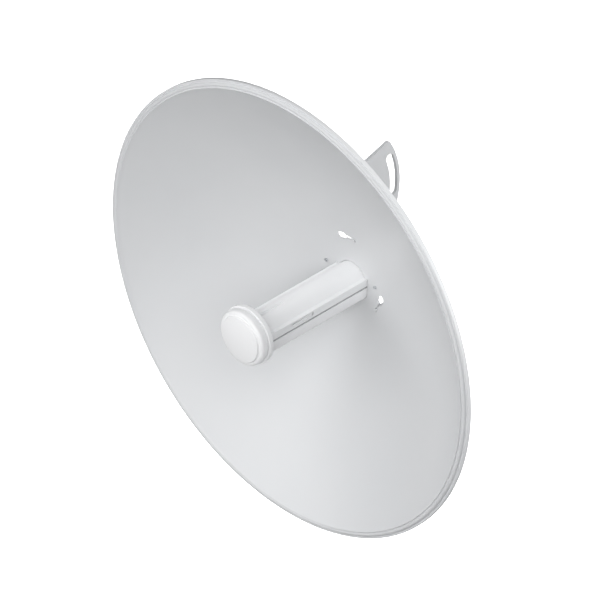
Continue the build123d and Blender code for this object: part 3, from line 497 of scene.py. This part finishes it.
def dish_profile():
    """The pressed sheet with its rolled bead, groove and turned-back lip."""
    steps = 70
    radii = [DISH_OPEN_R + (DISH_EDGE_R - DISH_OPEN_R) * i / steps for i in range(steps + 1)]
    front = [(r, parabola_y(r)) for r in radii]
    edge = front[-1]
    inside = DISH_R - SHEET_T
    # The ridge at the bowl's edge, then the groove outside it.
    rim = through(edge, (203.0, -4.15), (203.3, -3.7), 6)[1:]
    rim += [(203.42, -3.25), (203.6, -3.08), (203.85, -3.06)]
    # The rolled bead, then a second groove and the outer shoulder.
    rim += through((204.0, -3.1), (205.5, -3.9), (207.3, -2.5), 16)
    rim += [(207.5, -1.95), (207.75, -1.68), (208.0, -1.66)]
    rim += through((208.15, -1.72), (209.2, -2.2), (DISH_R, -1.5), 10)
    # The turned-back lip, then the back of the bead.
    rim += [(DISH_R, RIM_BACK_Y - 0.4), (DISH_R - 0.12, RIM_BACK_Y - 0.1), (DISH_R - 0.4, RIM_BACK_Y)]
    rim += [(inside + 0.3, RIM_BACK_Y), (inside, RIM_BACK_Y - 0.3), (inside, 0.1), (inside - 0.4, -0.3)]
    rim += through((207.3, -0.4), (205.6, -2.5), (204.1, -1.7), 8)
    rim += [(203.4, -2.0)]
    back = [(r, parabola_y(r, SHEET_T)) for r in reversed(radii)]
    return front + rim + back


def reflector():
    dish = solid(lathe, dish_profile(), DISH_STEPS, name="reflector_dish")
    holes = [tube_outline(TUBE_GAP)]
    for turn in range(3):
        wide = SLOT_WIDE_ANGLE - 120 * turn
        holes.append(arc_slot(SLOT_PCR, wide, SLOT_WIDE_HALF_ANGLE, SLOT_WIDE / 2))
        holes.append(arc_slot(SLOT_PCR, wide - SLOT_SWEEP / 2, SLOT_SWEEP / 2, SLOT_NARROW / 2, 20))
    for side in (-1, 1):
        holes.append(arc((side * LOCK_SCREW[0], LOCK_SCREW[1]), LOCK_HOLE_R, 0, 345, 23))
    cut(dish, [solid(prism_y, hole, *HUB_CUT_Y) for hole in holes])
    return show(dish, "dish_reflector", smooth=28.0)


# ---- feed ---------------------------------------------------------------------------
def upper_section():
    """The upper shell: a round crown on two side rails, hollow below."""
    start = math.degrees(math.asin((RAIL_TOP_Z - CROWN_Z) / TUBE_R))
    outer = [(RAIL_X, JOINT_Z), (RAIL_X, RAIL_TOP_Z)]
    outer += arc((0, CROWN_Z), TUBE_R, start, 180 - start, 56)
    outer += [(-RAIL_X, RAIL_TOP_Z), (-RAIL_X, JOINT_Z)]
    inner_x, ledge = RAIL_X - TUBE_WALL, RAIL_TOP_Z - TUBE_WALL
    inner_r = TUBE_R - TUBE_WALL
    low = math.degrees(math.asin((ledge - CROWN_Z) / inner_r))
    inner = [(-inner_x, JOINT_Z), (-inner_x, ledge)]
    inner += arc((0, CROWN_Z), inner_r, 180 - low, low, 40)
    inner += [(inner_x, ledge), (inner_x, JOINT_Z)]
    return outer + inner


def lower_section():
    """The lower shell: a trough with a tongue along each top edge."""
    side, wall, corner = RAIL_X, TUBE_WALL, TUBE_CORNER_R
    tongue = RAIL_X - SEAL_DEPTH
    outer = [(-tongue, JOINT_Z), (-tongue, GROOVE_Z), (-side, GROOVE_Z)]
    outer += arc((-side + corner, TUBE_BOTTOM_Z + corner), corner, 180, 270, 10)
    outer += arc((side - corner, TUBE_BOTTOM_Z + corner), corner, 270, 360, 10)
    outer += [(side, GROOVE_Z), (tongue, GROOVE_Z), (tongue, JOINT_Z)]
    inner = corner - wall
    low = TUBE_BOTTOM_Z + wall
    inside = [(side - wall, JOINT_Z)]
    inside += arc((side - corner, low + inner), inner, 360, 270, 6)
    inside += arc((-side + corner, low + inner), inner, 270, 180, 6)
    inside += [(-side + wall, JOINT_Z)]
    return outer + inside


def window_cutter(side):
    """The round-ended snap window in a rail's face."""
    radius = WINDOW_CORNER_R
    half_y, half_z = WINDOW_LENGTH / 2 - radius, WINDOW_HEIGHT / 2 - radius
    outline = []
    for turn, (y, z) in enumerate(((1, 1), (-1, 1), (-1, -1), (1, -1))):
        outline += arc((WINDOW_Y + y * half_y, WINDOW_Z + z * half_z), radius, 90 * turn, 90 * turn + 90, 5)
    return solid(prism_x, outline, side * (RAIL_X - TUBE_WALL - 0.2), side * (RAIL_X + 3))


def snap_tongue(side, grow):
    """The lower shell's tongue, which springs into a rail's window."""
    front, back = TONGUE_FRONT_Y - grow, TONGUE_BACK_Y + grow
    foot = JOINT_Z - 0.5
    outline = [(front, foot), (back, foot), (back, TONGUE_BACK_Z + grow), (front, TONGUE_FRONT_Z + grow)]
    return solid(prism_x, outline, side * (RAIL_X - TUBE_WALL + 0.2 - grow), side * (TONGUE_X + grow))


def ramp_cutter():
    """The groove along the crown, which narrows and rises away from the cap."""
    top = CROWN_TOP_Z + RAMP_CLEAR
    ends = []
    for half, depth, y in (
        (RAMP_FRONT_HALF, RAMP_FRONT_DEPTH, TUBE_FRONT_Y - 0.01),
        (RAMP_END_HALF, RAMP_END_DEPTH, RAMP_END_Y),
    ):
        foot = CROWN_TOP_Z - depth
        ends.append([(x, y, z) for x, z in ((-half, foot), (half, foot), (half, top), (-half, top))])
    return solid(loft, *ends)


def board_posts(bm):
    for x in (-POST_X, POST_X):
        for y in POST_PLACES_Y:
            bmesh.ops.create_cone(
                bm, cap_ends=True, segments=POST_STEPS, radius1=POST_R, radius2=POST_R, depth=POST_HEIGHT,
                matrix=Matrix.Translation((x, y, POST_Z)),
            )


def feed_shells():
    upper = solid(prism_y, upper_section(), TUBE_FRONT_Y, TUBE_BACK_Y, name="feed_crown_shell")
    backing = arc((0, CROWN_Z), TUBE_R - BACKING_INSET, 90 - BACKING_SPREAD, 90 + BACKING_SPREAD, 16)
    backing += [(x, CROWN_TOP_Z - BACKING_DEPTH) for x in (-BACKING_HALF, BACKING_HALF)]
    cut(upper, [solid(prism_y, backing, TUBE_FRONT_Y, BACKING_END_Y)], "UNION")
    floor = CROWN_TOP_Z - NOTCH_DEPTH
    notch = [(-NOTCH_HALF, floor), (NOTCH_HALF, floor), (NOTCH_HALF, NOTCH_TOP_Z), (-NOTCH_HALF, NOTCH_TOP_Z)]
    cutters = [ramp_cutter(), solid(prism_y, notch, *NOTCH_Y)]
    for side in (-1, 1):
        cutters += [window_cutter(side), snap_tongue(side, TONGUE_GAP)]
    cut(upper, cutters)
    round_edges(upper, SHELL_ROUND)
    show(upper, "feed_upper_shell")
    bm = bmesh.new()
    prism_y(bm, lower_section(), TUBE_FRONT_Y, TUBE_BACK_Y)
    board_posts(bm)
    lower = new_object("feed_trough_shell", bm)
    cut(lower, [snap_tongue(-1, 0), snap_tongue(1, 0)], "UNION")
    round_edges(lower, SHELL_ROUND)
    show(lower, "feed_lower_shell")


def cap_turned(name, outline):
    """A piece of the cap, turned about the cap's own axis."""
    bm = bmesh.new()
    lathe(bm, outline, CAP_STEPS)
    bmesh.ops.translate(bm, verts=bm.verts, vec=(0, 0, CAP_Z))
    return new_object(name, bm)


def cap_pieces():
    joint = CAP_JOINT_Y
    ring = [(CAP_INNER_R, TUBE_FRONT_Y), (RING_BORE_R, TUBE_FRONT_Y), (RING_BORE_R, CAP_RING_BACK_Y)]
    back, front = RING_BACK_ROUND, RING_FRONT_ROUND
    ring += arc((CAP_RING_R - back, CAP_RING_BACK_Y - back), back, 90, 0, 5)
    ring += arc((CAP_RING_R - front, joint + front), front, 0, -90, 4)
    ring += [(CAP_INNER_R, joint)]
    collar = cap_turned("cap_collar", ring)
    cut(collar, [solid(prism_y, tube_outline(), *RING_CUT_Y)])
    show(collar, "cap_ring", smooth=30)

    rise = joint - CAP_DISC_RISE - CAP_FRONT_Y
    dome_r = (CAP_DISC_R**2 + rise**2) / (2 * rise)
    # The shadow line, the drum, the sloping shoulder, the step and the domed disc.
    outline = [(CAP_R - 1.0, joint), (CAP_R - 1.0, joint - 0.75)]
    outline += through((CAP_R - 0.85, joint - 0.84), (CAP_R - 0.25, joint - 1.02), (CAP_R, joint - 1.4), 5)
    outline += through((CAP_R, joint - 5.4), (24.45, joint - 7.2), (22.6, joint - 8.0), 14)
    outline += through((22.0, joint - 8.04), (21.5, joint - 8.18), (21.28, joint - 8.5), 5)
    outline += through((21.05, joint - 9.2), (20.85, joint - 9.65), (20.3, joint - 9.92), 6)
    radii = [CAP_DISC_EDGE_R * (1 - i / 30) for i in range(31)]
    outline += [(r, CAP_FRONT_Y + dome_r - math.sqrt(dome_r**2 - r**2)) for r in radii]
    # Back along the inside of the wall to the lip that fits into the ring.
    outline += [(0, CAP_FRONT_Y + 2.0), (19.0, joint - 8.2), (21.8, joint - 5.8), (21.8, joint + CAP_FIT_DEPTH)]
    outline += [(CAP_FIT_R, joint + CAP_FIT_DEPTH), (CAP_FIT_R, joint)]
    show(cap_turned("cap_cover", outline), "feed_cap", smooth=38)


# ---- refined CAD pieces -------------------------------------------------------------
def refined(node, name, width, angle=32.0, segments=2, flat=0.6):
    """A node's own shape with its flat faces cleaned and every hard edge rounded."""
    bm = bmesh.new()
    bm.from_mesh(frame["nodes"][node].data)
    bmesh.ops.remove_doubles(bm, verts=bm.verts, dist=1e-6)
    bmesh.ops.dissolve_limit(
        bm, angle_limit=math.radians(flat), use_dissolve_boundaries=False, verts=bm.verts, edges=bm.edges
    )
    piece = new_object(name, bm)
    round_edges(piece, width * MM, angle, segments)
    show(piece, node, in_row=True, smooth=40)
    return weighted(piece)


REFINED = {
    "tilt_bracket": ("tilt_bracket_plate", 0.4),
    "rear_housing": ("rear_housing_shell", 0.35),
    "port_door": ("port_door_cover", 0.35),
    "release_lever": ("release_lever_arm", 0.3),
    "pole_bracket": ("pole_bracket_plate", 0.4),
    "pole_saddle": ("pole_saddle_casting", 0.6),
    "clamp_jaw": ("clamp_jaw_casting", 0.6),
    "cable_grommet": ("cable_grommet_block", 0.4),
    "bayonet_studs": ("stud_heads", 0.15),
    "dish_lock_screws": ("lock_screw_heads", 0.15),
    "housing_screws": ("housing_screw_heads", 0.2),
    "saddle_screws": ("saddle_screw_heads", 0.2),
    "clamp_bolts": ("clamp_bolt_rods", 0.3),
    "clamp_washers": ("clamp_washer_discs", 0.2),
    "clamp_nuts": ("clamp_nut_hexes", 0.35),
    "pivot_bolt": ("pivot_bolt_rod", 0.3),
    "pivot_washers": ("pivot_washer_discs", 0.2),
    "pivot_nut": ("pivot_nut_hex", 0.35),
    "lock_bolt": ("lock_bolt_rod", 0.3),
    "lock_washers": ("lock_washer_discs", 0.2),
    "lock_nut": ("lock_nut_hex", 0.35),
    "tail_plate": ("tail_plate_cover", 0.15),
    "rj45_jack": ("network_jack_body", 0.15),
    "reset_button": ("reset_plunger", 0.15),
    "lever_pin": ("lever_pin_rod", 0.15),
    "door_pin": ("door_pin_rod", 0.15),
}

reflector()
feed_shells()
cap_pieces()
for node, (name, width) in REFINED.items():
    refined(node, name, width)

for node, thing in frame["nodes"].items():
    if not thing.hide_render:
        thing.data.materials.clear()
        thing.data.materials.append(MATERIALS["pale_seal" if node == "shell_gaskets" else SLOT_OF[node]])


# ---- floor, light and camera --------------------------------------------------------
FLOOR_SIZE = 20.0
FLOOR_DROP = 3.0
WORLD_STRENGTH = 0.03

# Name, place from the dish's centre (m), diameter (m) and power (W).
LAMPS = (
    ("key", (1.7, -1.7, 1.7), 1.7, 38),
    ("fill_left", (-1.4, -1.6, 1.9), 3.5, 45),
    ("front", (0, -2.4, 0.3), 3.0, 31),
    ("edge", (2.2, 1.2, 0.8), 2.0, 51),
    ("top_back", (0.2, 1.8, 2.0), 2.0, 13),
)
FLOOR_LAMP_AT = (-2.6, 2.6, -1.6)
FLOOR_LAMP_TO = (-3.0, 3.0, -FLOOR_DROP)
FLOOR_LAMP_SIZE = 3.0
FLOOR_LAMP_POWER = 130


def backdrop():
    """A wide pale floor well below the dish."""
    material, nodes, links, bsdf = shader("pale_floor", 0.9)
    slow = noise(nodes, links, 0.7, 2.0)
    tone = colour_between(nodes, links, slow, (0.93, 0.93, 0.93), (0.96, 0.96, 0.96))
    links.new(tone, bsdf.inputs["Base Color"])
    bm = bmesh.new()
    bmesh.ops.create_grid(bm, x_segments=8, y_segments=8, size=FLOOR_SIZE)
    bmesh.ops.translate(bm, verts=bm.verts, vec=(0, 0, cad_low.z - FLOOR_DROP))
    floor = new_object("floor", bm)
    floor.data.materials.append(material)


def soft_box(name, place, target, size, watts):
    data = bpy.data.lights.new(name, "AREA")
    data.shape = "DISK"
    data.size = size
    data.energy = watts
    lamp = bpy.data.objects.new(name, data)
    lamp.location = place
    lamp.rotation_mode = "QUATERNION"
    lamp.rotation_quaternion = (target - place).to_track_quat("-Z", "Y")
    bpy.context.scene.collection.objects.link(lamp)


def lighting():
    world = bpy.data.worlds.new("studio")
    world.use_nodes = True
    sky = world.node_tree.nodes["Background"]
    sky.inputs["Color"].default_value = (1.0, 1.0, 1.0, 1)
    sky.inputs["Strength"].default_value = WORLD_STRENGTH
    bpy.context.scene.world = world
    for name, place, size, watts in LAMPS:
        soft_box(name, DISH_CENTRE + Vector(place), DISH_CENTRE, size, watts)
    foot = Vector((0, 0, cad_low.z))
    place, target = foot + Vector(FLOOR_LAMP_AT), foot + Vector(FLOOR_LAMP_TO)
    soft_box("backdrop", place, target, FLOOR_LAMP_SIZE, FLOOR_LAMP_POWER)


CAMERA_AZIMUTH = 45.0
CAMERA_ELEVATION = 35.264
CAMERA_DISTANCE = 12.0
FRAME_WIDTH = 0.5004
AIM_RIGHT = 0.00823
AIM_UP = 0.0076


def camera():
    """A long lens at the dish's centre, which sits a little left of and below the middle."""
    turn, lift = math.radians(CAMERA_AZIMUTH), math.radians(CAMERA_ELEVATION)
    back = Vector((math.sin(turn) * math.cos(lift), -math.cos(turn) * math.cos(lift), math.sin(lift)))
    right = Vector((math.cos(turn), math.sin(turn), 0))
    up = back.cross(right)
    data = bpy.data.cameras.new("camera")
    data.sensor_width = 36.0
    data.lens = data.sensor_width * CAMERA_DISTANCE / FRAME_WIDTH
    data.clip_start, data.clip_end = 0.1, 100.0
    eye = bpy.data.objects.new("camera", data)
    eye.location = DISH_CENTRE + right * AIM_RIGHT + up * AIM_UP + back * CAMERA_DISTANCE
    eye.rotation_mode = "QUATERNION"
    eye.rotation_quaternion = (-back).to_track_quat("-Z", "Y")
    bpy.context.scene.collection.objects.link(eye)
    bpy.context.scene.camera = eye


backdrop()
lighting()
camera()
bpy.context.scene.view_settings.view_transform = "Standard"
